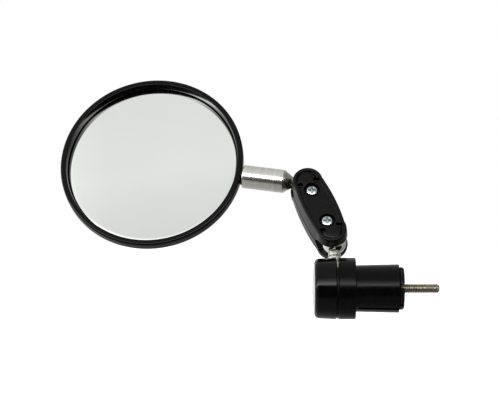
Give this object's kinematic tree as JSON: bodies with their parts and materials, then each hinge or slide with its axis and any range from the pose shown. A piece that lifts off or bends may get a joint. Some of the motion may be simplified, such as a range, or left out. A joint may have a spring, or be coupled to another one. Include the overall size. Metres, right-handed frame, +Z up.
{
  "type": "bar-end bicycle mirror",
  "caption": "Round convex bicycle mirror on a steel stem, held by a ball-jointed clamp link on a swivelling bar-end plug with an expander bolt.",
  "frame": {"origin": "on the plug's axis, in the plane of the shoulder that meets the handlebar's end", "axes": "+X along the plug into the handlebar, +Z up, -Y towards the rider, who looks along +Y"},
  "size_m": [0.1586, 0.0713, 0.1006],
  "materials": {
    "gloss_black": "glossy moulded black",
    "satin_black": "satin moulded black",
    "bright_steel": "turned and polished",
    "ball_chrome": "polished",
    "zinc": "bright zinc plated",
    "bolt_steel": "plain steel, slightly oiled",
    "badge_silver": "silver, satin",
    "foam": "closed-cell foam",
    "mirror": "silvered convex glass"
  },
  "bodies": {
    "plug": {"plug_body": "gloss_black", "end_cap": "gloss_black", "cap_badge": "badge_silver", "bolt_washer": "zinc"},
    "bolt": {"clamp_bolt": "bolt_steel"},
    "expander": {"expander_cone": "satin_black", "expander_nut": "zinc"},
    "swivel": {"swivel_plate": "bright_steel"},
    "stud": {"ball_stud": "bright_steel"},
    "lower_ball": {"lower_ball": "ball_chrome"},
    "link": {"link_front_shell": "satin_black", "link_rear_shell": "satin_black", "link_nut_lower": "zinc", "link_nut_upper": "zinc"},
    "lower_screw": {"link_screw_lower": "zinc"},
    "upper_screw": {"link_screw_upper": "zinc"},
    "upper_ball": {"upper_ball": "ball_chrome"},
    "stem": {"stem": "bright_steel"},
    "head": {"mirror_housing": "gloss_black", "glass_cushion": "foam", "mirror_glass": "mirror"}
  },
  "joints": [
    {"name": "hub_swivel", "type": "hinge", "parent": "plug", "child": "swivel", "pos_m": [-0.0075, 0, 0], "axis": [1, 0, 0], "continuous": true},
    {"name": "stud_twist", "type": "hinge", "parent": "swivel", "child": "stud", "pos_m": [-0.0085, 0.00761, 0.01292], "axis": [0, 0.5075, 0.8616], "range_deg": [-120, 120]},
    {"name": "lower_ball_tilt", "type": "hinge", "parent": "stud", "child": "lower_ball", "pos_m": [-0.0085, 0.01096, 0.01861], "axis": [1, 0, 0], "range_deg": [-3, 3]},
    {"name": "lower_ball_swing", "type": "hinge", "parent": "lower_ball", "child": "link", "pos_m": [-0.0085, 0.01096, 0.01861], "axis": [0, -0.8616, 0.5075], "range_deg": [-68, 47]},
    {"name": "upper_ball_swing", "type": "hinge", "parent": "link", "child": "upper_ball", "pos_m": [-0.02051, 0.02547, 0.04324], "axis": [0, -0.8616, 0.5075], "range_deg": [-110, 10]},
    {"name": "upper_ball_tilt", "type": "hinge", "parent": "upper_ball", "child": "stem", "pos_m": [-0.02051, 0.02547, 0.04324], "axis": [0.1965, 0.4976, 0.8448], "range_deg": [-2, 12]},
    {"name": "head_twist", "type": "hinge", "parent": "stem", "child": "head", "pos_m": [-0.04785, 0.03046, 0.04665], "axis": [-0.9764, 0.1783, 0.122], "continuous": true},
    {"name": "bolt_turn", "type": "hinge", "parent": "plug", "child": "bolt", "pos_m": [-0.011, 0, 0], "axis": [-1, 0, 0], "range_deg": [0, 720]},
    {"name": "expander_slide", "type": "slide", "parent": "plug", "child": "expander", "axis": [1, 0, 0], "range_m": [0, 0.0014]},
    {"name": "lower_screw_turn", "type": "hinge", "parent": "link", "child": "lower_screw", "pos_m": [-0.01141, 0.01051, 0.0269], "axis": [0, -0.8616, 0.5075], "range_deg": [0, 180]},
    {"name": "upper_screw_turn", "type": "hinge", "parent": "link", "child": "upper_screw", "pos_m": [-0.01761, 0.018, 0.03961], "axis": [0, -0.8616, 0.5075], "range_deg": [0, 180]}
  ],
  "couplings": [
    {"joint": "expander_slide", "follows": "bolt_turn", "m_per_rad": 0.0001114}
  ]
}
